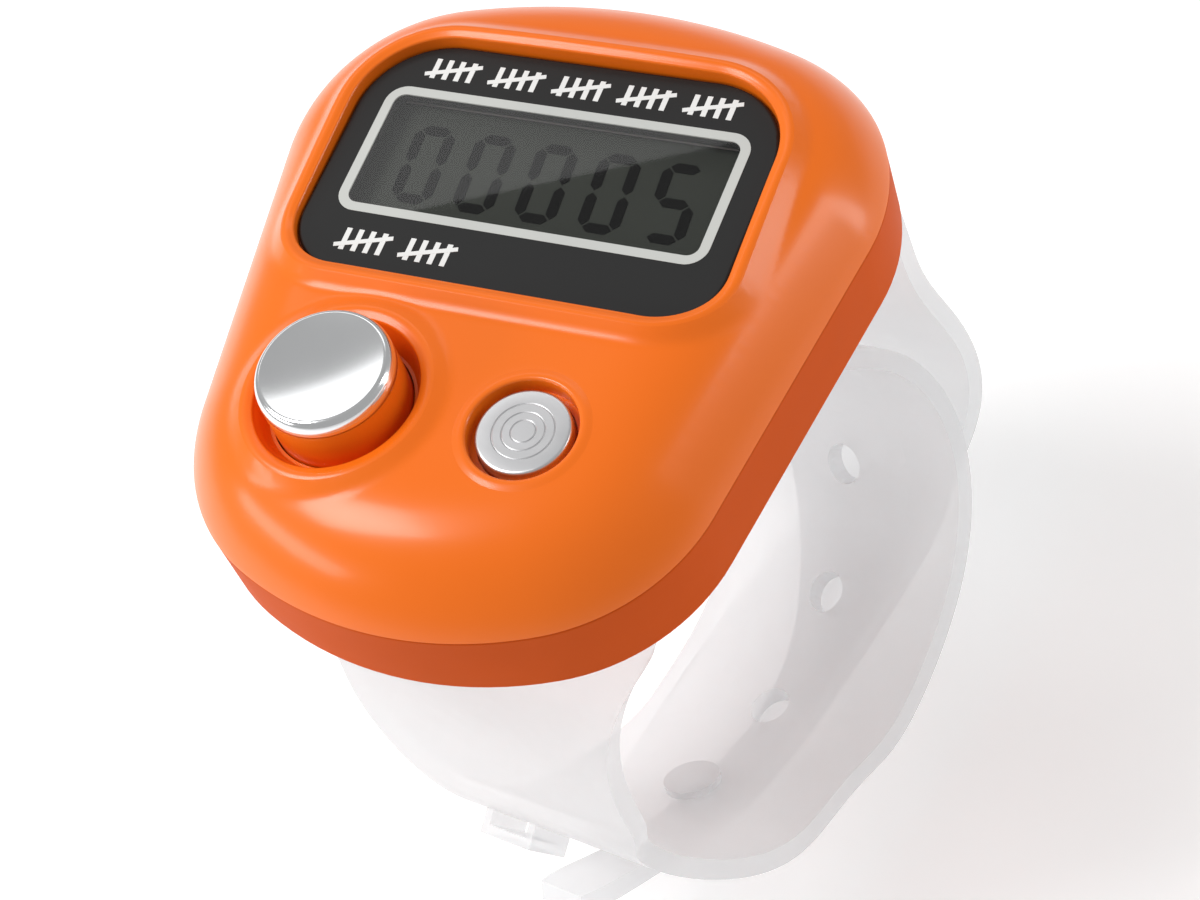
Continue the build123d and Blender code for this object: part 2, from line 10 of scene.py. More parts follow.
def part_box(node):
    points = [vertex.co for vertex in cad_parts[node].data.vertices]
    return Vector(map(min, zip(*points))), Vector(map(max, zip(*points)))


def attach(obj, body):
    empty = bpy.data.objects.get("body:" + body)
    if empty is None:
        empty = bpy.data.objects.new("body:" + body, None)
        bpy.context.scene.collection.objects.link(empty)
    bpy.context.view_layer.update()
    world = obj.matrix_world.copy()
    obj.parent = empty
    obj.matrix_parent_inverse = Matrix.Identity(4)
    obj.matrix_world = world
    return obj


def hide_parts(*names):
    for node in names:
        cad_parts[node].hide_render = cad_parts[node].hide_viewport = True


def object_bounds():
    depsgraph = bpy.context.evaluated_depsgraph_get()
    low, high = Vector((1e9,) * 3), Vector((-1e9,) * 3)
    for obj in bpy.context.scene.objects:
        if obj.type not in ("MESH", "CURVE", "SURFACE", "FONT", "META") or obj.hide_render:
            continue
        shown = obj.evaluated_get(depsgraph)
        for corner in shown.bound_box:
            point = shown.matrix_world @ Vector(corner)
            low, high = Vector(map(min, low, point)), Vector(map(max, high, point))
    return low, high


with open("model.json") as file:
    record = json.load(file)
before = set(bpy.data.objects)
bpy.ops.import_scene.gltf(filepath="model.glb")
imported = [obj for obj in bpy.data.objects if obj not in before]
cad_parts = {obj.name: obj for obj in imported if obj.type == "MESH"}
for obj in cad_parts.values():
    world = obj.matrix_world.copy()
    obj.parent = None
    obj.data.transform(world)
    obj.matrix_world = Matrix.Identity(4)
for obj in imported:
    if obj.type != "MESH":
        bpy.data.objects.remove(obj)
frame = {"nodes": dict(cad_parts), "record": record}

CAD_BOX = [list(corner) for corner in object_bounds()]
MM = 0.001

# Lengths are in millimetres and angles in degrees, unless a line says otherwise
# Fineness of the meshes
OUTLINE_STEP = 0.3
CIRCLE_STEP = 0.2
TURNED_SIDES = 128
QUARTER_STEPS = 5
HOLE_EDGE_RINGS = 5
RECTANGLE_CORNER_STEPS = 8
SKIN_SPACING = 0.32
LINING_SPACING = 0.8
PIECE_SHARP = 30
SHELL_SHARP = 50
NODE_SHARP = 35

# Case, on the CAD's dimensions
BODY_LENGTH = 40.0
END_R = 34.0
CORNER_R = 10.5
CORNER_X = 6.77
LOW_CORNER_R = 11.0
LOW_CORNER_X = 3.74
LOW_END_R = 20.0
PARTING_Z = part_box("bottom_shell")[1].z / MM
DOME_RISE = 4.4
SHOULDER = 9.0
SHOULDER_POWER = 3.8
SHOULDER_ROUND = 1.12
WALL = 1.2
HOLE_EDGE_R = 0.16
LIP_RING_STEP = 0.1

# Rings of quads in from the case's edge, closer together near the edge
SHOULDER_RINGS = 16
FIRST_RING = 0.0022
RING_GROWTH = 2.4
LINING_RINGS_SKIPPED = 4

# Panel recess and its raised lip
PANEL_HALF_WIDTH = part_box("bezel_plate")[1].x / MM
PANEL_BOTTOM_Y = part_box("bezel_plate")[0].y / MM
PANEL_TOP_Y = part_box("bezel_plate")[1].y / MM
PANEL_LOW_CORNER = 3.4
PANEL_HIGH_CORNER = 4.8
PANEL_FACE_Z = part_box("bezel_plate")[1].z / MM
RECESS_FLOOR_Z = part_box("bezel_plate")[0].z / MM
RECESS_LEDGE = 1.2
RECESS_FLOOR_T = 0.8
PANEL_GAP = 0.1
LIP_RISE = 0.52
LIP_CENTRE = 0.6
LIP_HALF = 1.05

# Silver line round the window
FRAME_LINE = 0.55
FRAME_CORNER = 1.2
PRINT_DEPTH = 0.08

# Printed tally marks
MARK_HALF_T = 0.02
STROKES = 4
STROKE_PITCH = 0.72
STROKE_WIDTH = 0.3
CROSS_WIDTH = 0.26
CROSS_OVERHANG = 0.5
CROSS_SLOPE = 0.34
CROSS_RAISE = 0.01
TALLY_PITCH = 3.8
HEAD_TALLIES = 5
HEAD_X, HEAD_Y, HEAD_HEIGHT = -8.6, 11.75, 1.35
FOOT_TALLIES = 2
FOOT_X, FOOT_Y, FOOT_HEIGHT = -9.0, 0.0, 1.4

# Buttons
COUNT_CENTRE = (-5.1, -9.5)
COUNT_R = 3.68
COUNT_TOP_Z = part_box("count_cap")[1].z / MM
COUNT_CAP_HEIGHT = 1.0
CRATER_R = 4.45
CRATER_FLOOR_Z = 7.9
# Inward step and height of points down the crater's curved wall
CRATER_WALL = [(0.12, 8.75), (0.24, 8.4), (0.38, 8.1), (0.52, CRATER_FLOOR_Z)]
CRATER_LIP_RISE = 0.36
CRATER_LIP_CENTRE = 0.6
CRATER_LIP_HALF = 1.1
RESET_CENTRE = (5.3, -9.5)
RESET_R = 2.5
WELL_R = 2.9
WELL_FLOOR_Z = 8.1
WELL_FLOOR_T = 0.9
WELL_LIP_RISE = 0.08
WELL_LIP_CENTRE = 0.25
WELL_LIP_HALF = 0.5
BORE_GAP = 0.08

# Camera: its place, and the directions behind and above it
CAMERA_PLACE = Vector((61.15, -70.17, 118.08))
CAMERA_BACK = Vector((0.3822, -0.4477, 0.8084))
CAMERA_UP = Vector((-0.1767, 0.8233, 0.5394))

# Soft boxes: name, place, the point aimed at, width and height, power in watts
SOFT_BOXES = [
    ("key", (-190, -60, 310), (0, 0, 0), (140, 140), 0.84),
    ("right", (300, 160, 100), (0, 0, 0), (60, 260), 0.35),
    ("front", (-260, -200, 120), (0, -10, 0), (220, 60), 0.3),
]
BACK_BOX_SIZE = (420, 160)
BACK_BOX_POWER = 0.27
# The back box is this many times as far from the mirrored camera as the window is
BACK_BOX_REACH = 4.0
# Two points of the window on the slanting edge of the back box's mirror image
GLARE_LOW_END = (-6.0, 2.4)
GLARE_HIGH_END = (9.5, 9.7)
SKY_STRENGTH = 0.42
FLOOR_GLOW = 0.28
# Half the floor's side, in metres
FLOOR_HALF = 4.0


# ------------------------------------------------------------------ mesh building
def arc_points(centre, radius, start, end, step=OUTLINE_STEP):
    """Points along an arc, in degrees from start to end, without its last point."""
    count = max(2, round(abs(radians(end - start)) * radius / step))
    turns = [radians(start + (end - start) * i / count) for i in range(count)]
    return [(centre[0] + radius * cos(a), centre[1] + radius * sin(a)) for a in turns]


def line_points(start, end):
    """Points along a straight line, without its last point."""
    run_x, run_y = end[0] - start[0], end[1] - start[1]
    count = max(1, round(sqrt(run_x**2 + run_y**2) / OUTLINE_STEP))
    return [(start[0] + run_x * i / count, start[1] + run_y * i / count) for i in range(count)]


def circle_points(centre, radius):
    """A closed circle, anticlockwise."""
    return np.array(arc_points(centre, radius, 0, 360, CIRCLE_STEP))


def case_outline():
    """The case's outline, anticlockwise: four tangent corners, two bowed ends, two straight sides."""
    end_y = BODY_LENGTH / 2 - END_R
    low_end_y = LOW_END_R - BODY_LENGTH / 2
    corner_y = end_y + sqrt((END_R - CORNER_R) ** 2 - CORNER_X**2)
    low_y = low_end_y - sqrt((LOW_END_R - LOW_CORNER_R) ** 2 - LOW_CORNER_X**2)
    rise, step = corner_y - low_y, CORNER_X - LOW_CORNER_X
    apart = sqrt(rise**2 + step**2)
    lean = degrees(np.arccos((LOW_CORNER_R - CORNER_R) / apart) - atan2(rise, step))
    turn = degrees(atan2(corner_y - end_y, CORNER_X))
    low_turn = degrees(atan2(low_end_y - low_y, LOW_CORNER_X))
    side = (cos(radians(lean)), -sin(radians(lean)))
    low_side = (LOW_CORNER_X + LOW_CORNER_R * side[0], low_y + LOW_CORNER_R * side[1])
    high_side = (CORNER_X + CORNER_R * side[0], corner_y + CORNER_R * side[1])
    right = arc_points((0, low_end_y), LOW_END_R, -90, -low_turn)
    right += arc_points((LOW_CORNER_X, low_y), LOW_CORNER_R, -low_turn, -lean)
    right += line_points(low_side, high_side)
    right += arc_points((CORNER_X, corner_y), CORNER_R, -lean, turn)
    right += arc_points((0, end_y), END_R, turn, 90)
    left = [(-x, y) for x, y in right[1:]][::-1]
    return np.array(right + [(0, BODY_LENGTH / 2)] + left)


def panel_outline(grow=0.0):
    """The display panel's outline, anticlockwise, grown by grow."""
    half, low, high = PANEL_HALF_WIDTH + grow, PANEL_BOTTOM_Y - grow, PANEL_TOP_Y + grow
    low_r, high_r = PANEL_LOW_CORNER + grow, PANEL_HIGH_CORNER + grow
    points = line_points((-half + low_r, low), (half - low_r, low))
    points += arc_points((half - low_r, low + low_r), low_r, -90, 0)
    points += line_points((half, low + low_r), (half, high - high_r))
    points += arc_points((half - high_r, high - high_r), high_r, 0, 90)
    points += line_points((half - high_r, high), (-half + high_r, high))
    points += arc_points((-half + high_r, high - high_r), high_r, 90, 180)
    points += line_points((-half, high - high_r), (-half, low + low_r))
    points += arc_points((-half + low_r, low + low_r), low_r, 180, 270)
    return np.array(points)


def rounded_rectangle(half, low, high, corner):
    """A rectangle from -half to half and low to high with round corners, anticlockwise."""
    points = []
    for x, y, start in (
        (half - corner, low + corner, -90),
        (half - corner, high - corner, 0),
        (corner - half, high - corner, 90),
        (corner - half, low + corner, 180),
    ):
        for k in range(RECTANGLE_CORNER_STEPS + 1):
            turn = radians(start + 90 * k / RECTANGLE_CORNER_STEPS)
            points.append((x + corner * cos(turn), y + corner * sin(turn)))
    return np.array(points)


def outward(loop):
    """Unit normals of an anticlockwise loop, pointing out of it."""
    along = np.roll(loop, -1, 0) - np.roll(loop, 1, 0)
    along /= np.linalg.norm(along, axis=1)[:, None]
    return np.c_[along[:, 1], -along[:, 0]]


def distance_to(points, loop):
    """Distance from each point to a closed loop."""
    nearest = np.full(len(points), 1e9)
    for start, end in zip(loop, np.roll(loop, -1, 0)):
        run = end - start
        t = np.clip((points - start) @ run / (run @ run), 0, 1)
        gap = points - start - t[:, None] * run
        nearest = np.minimum(nearest, np.einsum("ij,ij->i", gap, gap))
    return np.sqrt(nearest)


def inside(points, loop):
    """Which points lie inside a closed loop."""
    found = np.zeros(len(points), bool)
    for (x0, y0), (x1, y1) in zip(loop, np.roll(loop, -1, 0)):
        crosses = (y0 > points[:, 1]) != (y1 > points[:, 1])
        rise = y1 - y0 if y1 != y0 else 1e-12
        found ^= crosses & (points[:, 0] < (x1 - x0) * (points[:, 1] - y0) / rise + x0)
    return found


class Solid:
    """Vertices in millimetres and faces, gathered into one closed mesh."""

    def __init__(self):
        self.points = []
        self.faces = []

    def loop(self, points):
        """Adds a closed loop of vertices and returns their numbers."""
        first = len(self.points)
        self.points.extend(tuple(p) for p in points)
        return list(range(first, len(self.points)))

    def strip(self, near, far):
        """Joins two loops of equal length with a band of quads."""
        for i in range(len(near)):
            j = (i + 1) % len(near)
            self.faces.append((near[i], near[j], far[j], far[i]))

    def lid(self, loop, centre):
        """Closes a loop with a fan round one centre point."""
        middle = len(self.points)
        self.points.append(tuple(centre))
        for i in range(len(loop)):
            self.faces.append((loop[i], loop[(i + 1) % len(loop)], middle))

    def prism(self, flat, low, high):
        """Adds an upright block over a flat outline, from height low to high."""
        under = self.loop([(*point, low) for point in flat])
        over = self.loop([(*point, high) for point in flat])
        self.strip(under, over)
        self.faces.append(tuple(reversed(under)))
        self.faces.append(tuple(over))

    def patch(self, outer, holes, lift, spacing, flip=False):
        """Fills between an outer loop and its holes with even triangles.

        Each loop is given as (flat points, vertex numbers). A flipped patch faces down.
        """
        loops = [outer] + holes
        flat = np.concatenate([points for points, numbers in loops])
        numbers = [number for points, given in loops for number in given]
        edges, first = [], 0
        for points, given in loops:
            count = len(points)
            edges += [(first + i, first + (i + 1) % count) for i in range(count)]
            first += count
        low, high = outer[0].min(0), outer[0].max(0)
        rows = np.arange(low[1] + spacing / 2, high[1], spacing * sqrt(3) / 2)
        grid = []
        for k, y in enumerate(rows):
            across = np.arange(low[0] + spacing * (k % 2) / 2, high[0], spacing)
            grid.append(np.c_[across, np.full(len(across), y)])
        grid = np.concatenate(grid)
        keep = inside(grid, outer[0]) & (distance_to(grid, outer[0]) > spacing * 0.6)
        for points, given in holes:
            keep &= ~inside(grid, points)
            keep &= distance_to(grid, points) > spacing * 0.6
        grid = grid[keep]
        first = len(self.points)
        self.points.extend(tuple(p) for p in lift(grid))
        numbers += list(range(first, len(self.points)))
        every = np.concatenate([flat, grid])
        filled = delaunay_2d_cdt([Vector(p) for p in every], edges, [], 0, 1e-7)
        made, _, triangles, origins, _, _ = filled
        corners = np.array(triangles)
        middles = np.array([tuple(v) for v in made])[corners].mean(1)
        good = inside(middles, outer[0])
        for points, given in holes:
            good &= ~inside(middles, points)
        for triangle in corners[good]:
            face = [numbers[origins[v][0]] for v in triangle]
            self.faces.append(tuple(reversed(face)) if flip else tuple(face))

    def piece(self, name, finish, body, sharp=PIECE_SHARP):
        """Makes the Blender object, smooth shaded but for edges sharper than sharp degrees."""
        mesh = bpy.data.meshes.new(name)
        mesh.from_pydata((np.array(self.points) * MM).tolist(), [], self.faces)
        mesh.validate()
        made = bpy.data.objects.new(name, mesh)
        bpy.context.scene.collection.objects.link(made)
        mesh.polygons.foreach_set("use_smooth", [True] * len(mesh.polygons))
        mesh.set_sharp_from_angle(angle=radians(sharp))
        mesh.materials.append(finish)
        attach(made, body)
        return made


def lathe(profile, centre):
    """A closed solid turned about the vertical line through centre; its profile runs axis to axis."""
    solid = Solid()
    turns = [2 * pi * i / TURNED_SIDES for i in range(TURNED_SIDES)]
    loops = []
    for radius, z in profile[1:-1]:
        ring = [(centre[0] + radius * cos(a), centre[1] + radius * sin(a), z) for a in turns]
        loops.append(solid.loop(ring))
    for near, far in zip(loops, loops[1:]):
        solid.strip(near, far)
    solid.lid(loops[0][::-1], (*centre, profile[0][1]))
    solid.lid(loops[-1], (*centre, profile[-1][1]))
    return solid


def rounded(corner, start, end, radius):
    """A quarter round in place of a profile's corner, from the side towards start to that towards end."""
    corner, start, end = (np.array(p, float) for p in (corner, start, end))
    into = (start - corner) / np.linalg.norm(start - corner)
    out = (end - corner) / np.linalg.norm(end - corner)
    centre = corner + (into + out) * radius
    turns = [pi / 2 * i / QUARTER_STEPS for i in range(QUARTER_STEPS + 1)]
    return [tuple(centre - out * radius * cos(a) - into * radius * sin(a)) for a in turns]


# ------------------------------------------------------------------ materials
def material(name, colour, roughness=0.4, **settings):
    """A Principled material with the given plain settings."""
    made = bpy.data.materials.new(name)
    made.use_nodes = True
    surface = made.node_tree.nodes["Principled BSDF"]
    surface.inputs["Base Color"].default_value = (*colour, 1)
    surface.inputs["Roughness"].default_value = roughness
    for key, value in settings.items():
        surface.inputs[key.replace("_", " ")].default_value = value
    return made


def noise(made, scale, detail=3.0, stretch=(1, 1, 1)):
    """A noise texture in object coordinates, features per metre given by scale."""
    nodes, links = made.node_tree.nodes, made.node_tree.links
    place = nodes.new("ShaderNodeTexCoord")
    sized = nodes.new("ShaderNodeMapping")
    sized.inputs["Scale"].default_value = stretch
    texture = nodes.new("ShaderNodeTexNoise")
    texture.inputs["Scale"].default_value = scale
    texture.inputs["Detail"].default_value = detail
    links.new(place.outputs["Object"], sized.inputs["Vector"])
    links.new(sized.outputs["Vector"], texture.inputs["Vector"])
    return texture


def grain(made, scale, strength, depth, stretch=(1, 1, 1)):
    """Fine surface relief from noise."""
    nodes, links = made.node_tree.nodes, made.node_tree.links
    texture = noise(made, scale, 2.0, stretch)
    relief = nodes.new("ShaderNodeBump")
    relief.inputs["Strength"].default_value = strength
    relief.inputs["Distance"].default_value = depth
    links.new(texture.outputs["Fac"], relief.inputs["Height"])
    links.new(relief.outputs["Normal"], nodes["Principled BSDF"].inputs["Normal"])


def vary(made, low, high, scale):
    """Soft variation of roughness between low and high, over the surface."""
    nodes, links = made.node_tree.nodes, made.node_tree.links
    texture = noise(made, scale)
    spread = nodes.new("ShaderNodeMapRange")
    spread.inputs["To Min"].default_value = low
    spread.inputs["To Max"].default_value = high
    links.new(texture.outputs["Fac"], spread.inputs["Value"])
    links.new(spread.outputs["Result"], nodes["Principled BSDF"].inputs["Roughness"])


def tone(made, first, second, scale, stretch=(1, 1, 1)):
    """Soft drift of the base colour between two tones."""
    nodes, links = made.node_tree.nodes, made.node_tree.links
    texture = noise(made, scale, 3.0, stretch)
    ramp = nodes.new("ShaderNodeValToRGB")
    ramp.color_ramp.elements[0].position = 0.3
    ramp.color_ramp.elements[1].position = 0.7
    ramp.color_ramp.elements[0].color = (*first, 1)
    ramp.color_ramp.elements[1].color = (*second, 1)
    links.new(texture.outputs["Fac"], ramp.inputs["Fac"])
    links.new(ramp.outputs["Color"], nodes["Principled BSDF"].inputs["Base Color"])


def plastic(name, first, second, rough, coat=0.0, shine=0.5):
    """Moulded plastic: two close tones, soft roughness variation and a faint moulded texture."""
    settings = {"Coat_Weight": coat, "Coat_Roughness": 0.16, "Specular_IOR_Level": shine}
    made = material(name, first, sum(rough) / 2, **settings)
    tone(made, first, second, 90)
    vary(made, rough[0], rough[1], 300)
    grain(made, 2600, 0.02, 0.00002)
    return made


def metal(name, colour, rough, brushed=(1, 1, 1), relief=0.0):
    """Metal with a soft drift in polish."""
    made = material(name, colour, sum(rough) / 2, Metallic=1.0)
    tone(made, colour, tuple(c * 0.94 for c in colour), 140, brushed)
    vary(made, rough[0], rough[1], 420)
    if relief:
        grain(made, 1800, relief, 0.00002, brushed)
    return made


def see_through(name, tint, gloss_rough=0.01):
    """Clear sheet with a faint tint, and a Fresnel gloss on the faces seen from outside."""
    made = bpy.data.materials.new(name)
    made.use_nodes = True
    nodes, links = made.node_tree.nodes, made.node_tree.links
    nodes.remove(nodes["Principled BSDF"])
    clear = nodes.new("ShaderNodeBsdfTransparent")
    clear.inputs["Color"].default_value = (*tint, 1)
    gloss = nodes.new("ShaderNodeBsdfGlossy")
    edge = nodes.new("ShaderNodeFresnel")
    edge.inputs["IOR"].default_value = 1.5
    mix = nodes.new("ShaderNodeMixShader")
    polish = nodes.new("ShaderNodeMapRange")
    polish.inputs["To Min"].default_value = gloss_rough
    polish.inputs["To Max"].default_value = gloss_rough + 0.02
    texture = noise(made, 120)
    links.new(texture.outputs["Fac"], polish.inputs["Value"])
    links.new(polish.outputs["Result"], gloss.inputs["Roughness"])
    side = nodes.new("ShaderNodeNewGeometry")
    front = nodes.new("ShaderNodeMath")
    front.operation = "SUBTRACT"
    front.inputs[0].default_value = 1.0
    share = nodes.new("ShaderNodeMath")
    share.operation = "MULTIPLY"
    links.new(side.outputs["Backfacing"], front.inputs[1])
    links.new(front.outputs["Value"], share.inputs[0])
    links.new(edge.outputs["Fac"], share.inputs[1])
    links.new(share.outputs["Value"], mix.inputs["Fac"])
    links.new(clear.outputs["BSDF"], mix.inputs[1])
    links.new(gloss.outputs["BSDF"], mix.inputs[2])
    links.new(mix.outputs["Shader"], nodes["Material Output"].inputs["Surface"])
    return made


def band_clear():
    """Milky translucent silicone: partly see-through face on, denser where it is seen edge on."""
    milky, milky_deep = (0.9, 0.905, 0.91), (0.86, 0.87, 0.875)
    made = material("band_clear", milky, 0.34)
    tone(made, milky, milky_deep, 110)
    vary(made, 0.3, 0.4, 400)
    nodes, links = made.node_tree.nodes, made.node_tree.links
    surface = nodes["Principled BSDF"]
    clear = nodes.new("ShaderNodeBsdfTransparent")
    clear.inputs["Color"].default_value = (0.95, 0.955, 0.96, 1)
    through = nodes.new("ShaderNodeBsdfTranslucent")
    through.inputs["Color"].default_value = (*milky, 1)
    milk = nodes.new("ShaderNodeMixShader")
    milk.inputs["Fac"].default_value = 0.4
    facing = nodes.new("ShaderNodeLayerWeight")
    facing.inputs["Blend"].default_value = 0.35
    density = nodes.new("ShaderNodeMapRange")
    density.inputs["To Min"].default_value = 0.3
    density.inputs["To Max"].default_value = 0.95
    mix = nodes.new("ShaderNodeMixShader")
    links.new(surface.outputs["BSDF"], milk.inputs[1])
    links.new(through.outputs["BSDF"], milk.inputs[2])
    links.new(facing.outputs["Facing"], density.inputs["Value"])
    links.new(density.outputs["Result"], mix.inputs["Fac"])
    links.new(clear.outputs["BSDF"], mix.inputs[1])
    links.new(milk.outputs["Shader"], mix.inputs[2])
    links.new(mix.outputs["Shader"], nodes["Material Output"].inputs["Surface"])
    return made


ORANGE = (0.88, 0.168, 0.008)
ORANGE_DEEP = (0.86, 0.158, 0.007)
# Lower shell's orange: darker and redder than the glossy orange as painted shade of its shaded sides
MATT_PAINTED_SHADE = (0.62, 0.088, 0.008)
MATT_PAINTED_SHADE_DEEP = (0.57, 0.08, 0.007)
BLACK = (0.013, 0.013, 0.013)
BLACK_DEEP = (0.011, 0.011, 0.011)
CELL = (0.034, 0.036, 0.031)
CELL_DEEP = (0.03, 0.032, 0.027)
INK = (0.004, 0.004, 0.004)
INK_DEEP = (0.003, 0.003, 0.003)

MATERIALS = {
    "orange_gloss": plastic("orange_gloss", ORANGE, ORANGE_DEEP, (0.28, 0.33), coat=0.26, shine=0.22),
    # Lower shell: its low sheen is the real matt finish, and its darker base colour is painted shade
    "orange_matt": plastic("orange_matt", MATT_PAINTED_SHADE, MATT_PAINTED_SHADE_DEEP, (0.5, 0.58), shine=0.04),
    "panel_black": plastic("panel_black", BLACK, BLACK_DEEP, (0.42, 0.5), shine=0.3),
    "silver_print": plastic("silver_print", (0.56, 0.57, 0.54), (0.5, 0.51, 0.49), (0.3, 0.4)),
    "white_print": plastic("white_print", (0.82, 0.82, 0.8), (0.76, 0.76, 0.75), (0.4, 0.48)),
    "clear_window": see_through("clear_window", (0.97, 0.98, 0.97)),
    "clear_glass": see_through("clear_glass", (0.95, 0.97, 0.96), 0.05),
    "lcd_tint": plastic("lcd_tint", CELL, CELL_DEEP, (0.5, 0.55), shine=0.1),
    "lcd_ink": plastic("lcd_ink", INK, INK_DEEP, (0.5, 0.55), shine=0.0),
    "lcd_back": plastic("lcd_back", (0.11, 0.12, 0.105), (0.095, 0.105, 0.092), (0.45, 0.5)),
    "white_plastic": plastic("white_plastic", (0.75, 0.75, 0.72), (0.7, 0.7, 0.68), (0.4, 0.5)),
    "strip_rubber": plastic("strip_rubber", (0.35, 0.3, 0.3), (0.3, 0.26, 0.26), (0.5, 0.6)),
    "board_green": plastic("board_green", (0.03, 0.16, 0.06), (0.025, 0.13, 0.05), (0.3, 0.4)),
    "resin_black": plastic("resin_black", (0.012, 0.012, 0.012), (0.01, 0.01, 0.01), (0.2, 0.3)),
    "switch_black": plastic("switch_black", (0.02, 0.02, 0.02), (0.016, 0.016, 0.016), (0.4, 0.5)),
    "switch_tip": plastic("switch_tip", (0.6, 0.58, 0.5), (0.55, 0.53, 0.46), (0.4, 0.5)),
    "bright_chrome": metal("bright_chrome", (0.88, 0.89, 0.9), (0.13, 0.17)),
    "satin_silver": metal("satin_silver", (0.72, 0.72, 0.73), (0.3, 0.36), (1, 6, 1), 0.05),
    "cell_steel": metal("cell_steel", (0.7, 0.7, 0.7), (0.2, 0.28)),
    "contact_steel": metal("contact_steel", (0.62, 0.6, 0.55), (0.25, 0.35)),
    "screw_steel": metal("screw_steel", (0.6, 0.6, 0.62), (0.25, 0.35)),
    "band_clear": band_clear(),
}


# ------------------------------------------------------------------ CAD nodes and display
def display_plate():
    """The display cell seen as one dark plate under the digits, standing for its glasses and films."""
    low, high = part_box("lcd_front_glass")
    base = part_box("lcd_reflector")[0].z / MM
    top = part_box("lcd_segments")[0].z / MM
    corners = [(low.x, low.y), (high.x, low.y), (high.x, high.y), (low.x, high.y)]
    solid = Solid()
    solid.prism([(x / MM, y / MM) for x, y in corners], base, top)
    plate = solid.piece("display_plate", MATERIALS["lcd_tint"], "case")
    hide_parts("lcd_polarizer", "lcd_front_glass", "lcd_rear_glass", "lcd_reflector")


def silver_line():
    """Printed silver line round the window, on a black ring as deep as the panel."""
    low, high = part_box("silver_frame")
    half, bottom, head = high.x / MM, low.y / MM, high.y / MM
    base, top = low.z / MM, high.z / MM
    printed = top - PRINT_DEPTH
    outer = rounded_rectangle(half, bottom, head, FRAME_CORNER)
    inner = rounded_rectangle(
        half - FRAME_LINE, bottom + FRAME_LINE, head - FRAME_LINE, FRAME_CORNER - FRAME_LINE
    )
    solid = Solid()
    rings = []
    for flat, heights in ((outer, (base, printed, top)), (inner, (top, printed, base))):
        rings += [solid.loop(np.c_[flat, np.full(len(flat), z)]) for z in heights]
    for near, far in zip(rings, rings[1:] + rings[:1]):
        solid.strip(near, far)
    made = solid.piece("silver_line", MATERIALS["silver_print"], "case")
    made.data.materials.append(MATERIALS["panel_black"])
    for face in made.data.polygons:
        face.material_index = int(face.center.z < printed * MM - 1e-6)
    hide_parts("silver_frame")


def paint_nodes():
    """Every CAD node takes the finish that its record slot names."""
    for part in frame["record"]["subparts"]:
        node = frame["nodes"][part["node"]]
        node.data.materials.clear()
        node.data.materials.append(MATERIALS[part["material_slot"]])
        node.data.polygons.foreach_set("use_smooth", [True] * len(node.data.polygons))
        node.data.set_sharp_from_angle(angle=radians(NODE_SHARP))


# ------------------------------------------------------------------ upper half of the case
CASE_LOOP = case_outline()
PANEL_LOOP = panel_outline(PANEL_GAP)


def bump(offset, half):
    """Smooth bump, 1 at offset 0 and 0 beyond half."""
    return np.where(np.abs(offset) < half, 0.5 + 0.5 * np.cos(pi * offset / half), 0)


def dome(flat):
    """Height of the plain case top over flat points."""
    depth = np.minimum(distance_to(flat, CASE_LOOP) / SHOULDER, 1)
    return PARTING_Z + DOME_RISE * (1 - (1 - depth) ** SHOULDER_POWER) ** (1 / SHOULDER_ROUND)


def ring_gap(flat, centre, radius):
    """Distance of flat points outside a circle."""
    return np.hypot(flat[:, 0] - centre[0], flat[:, 1] - centre[1]) - radius


def relief(flat):
    """Height of the case top with the lips round the panel and buttons."""
    z = dome(flat)
    z += LIP_RISE * bump(distance_to(flat, PANEL_LOOP) - LIP_CENTRE, LIP_HALF)
    count_gap = ring_gap(flat, COUNT_CENTRE, CRATER_R)
    z += CRATER_LIP_RISE * bump(count_gap - CRATER_LIP_CENTRE, CRATER_LIP_HALF)
    reset_gap = ring_gap(flat, RESET_CENTRE, WELL_R)
    z += WELL_LIP_RISE * bump(reset_gap - WELL_LIP_CENTRE, WELL_LIP_HALF)
    return z


def lifted(flat):
    """Points of the outside surface."""
    return np.c_[flat, relief(flat)]


def lined(flat):
    """Points of the inside surface."""
    return np.c_[flat, np.maximum(PARTING_Z, dome(flat) - WALL)]


def edge_chain(solid, flat, numbers, offsets, lift, flip=False):
    """Rings of quads from a loop, each moved along its outward normals; returns the last ring."""
    out = outward(flat)
    last, ring = numbers, flat
    for offset in offsets:
        ring = flat + out * offset
        new = solid.loop(lift(ring))
        if flip:
            solid.strip(new, last)
        else:
            solid.strip(last, new)
        last = new
    return ring, last


def hole_wall(solid, flat, profile, edge):
    """Wall of a hole, from its rounded edge down a profile of (inward step, height).

    Returns the ring at each end.
    """
    out = outward(flat)
    turns = np.linspace(0, pi / 2, HOLE_EDGE_RINGS)
    rounding = [(-HOLE_EDGE_R * (1 - sin(a)), edge - HOLE_EDGE_R * (1 - cos(a))) for a in turns]
    rings = []
    for step, z in rounding + profile:
        ring = flat - out * step
        rings.append((ring, solid.loop(np.c_[ring, np.full(len(ring), z)])))
    for (_, above), (_, below) in zip(rings, rings[1:]):
        solid.strip(below, above)
    return rings[0], rings[-1]


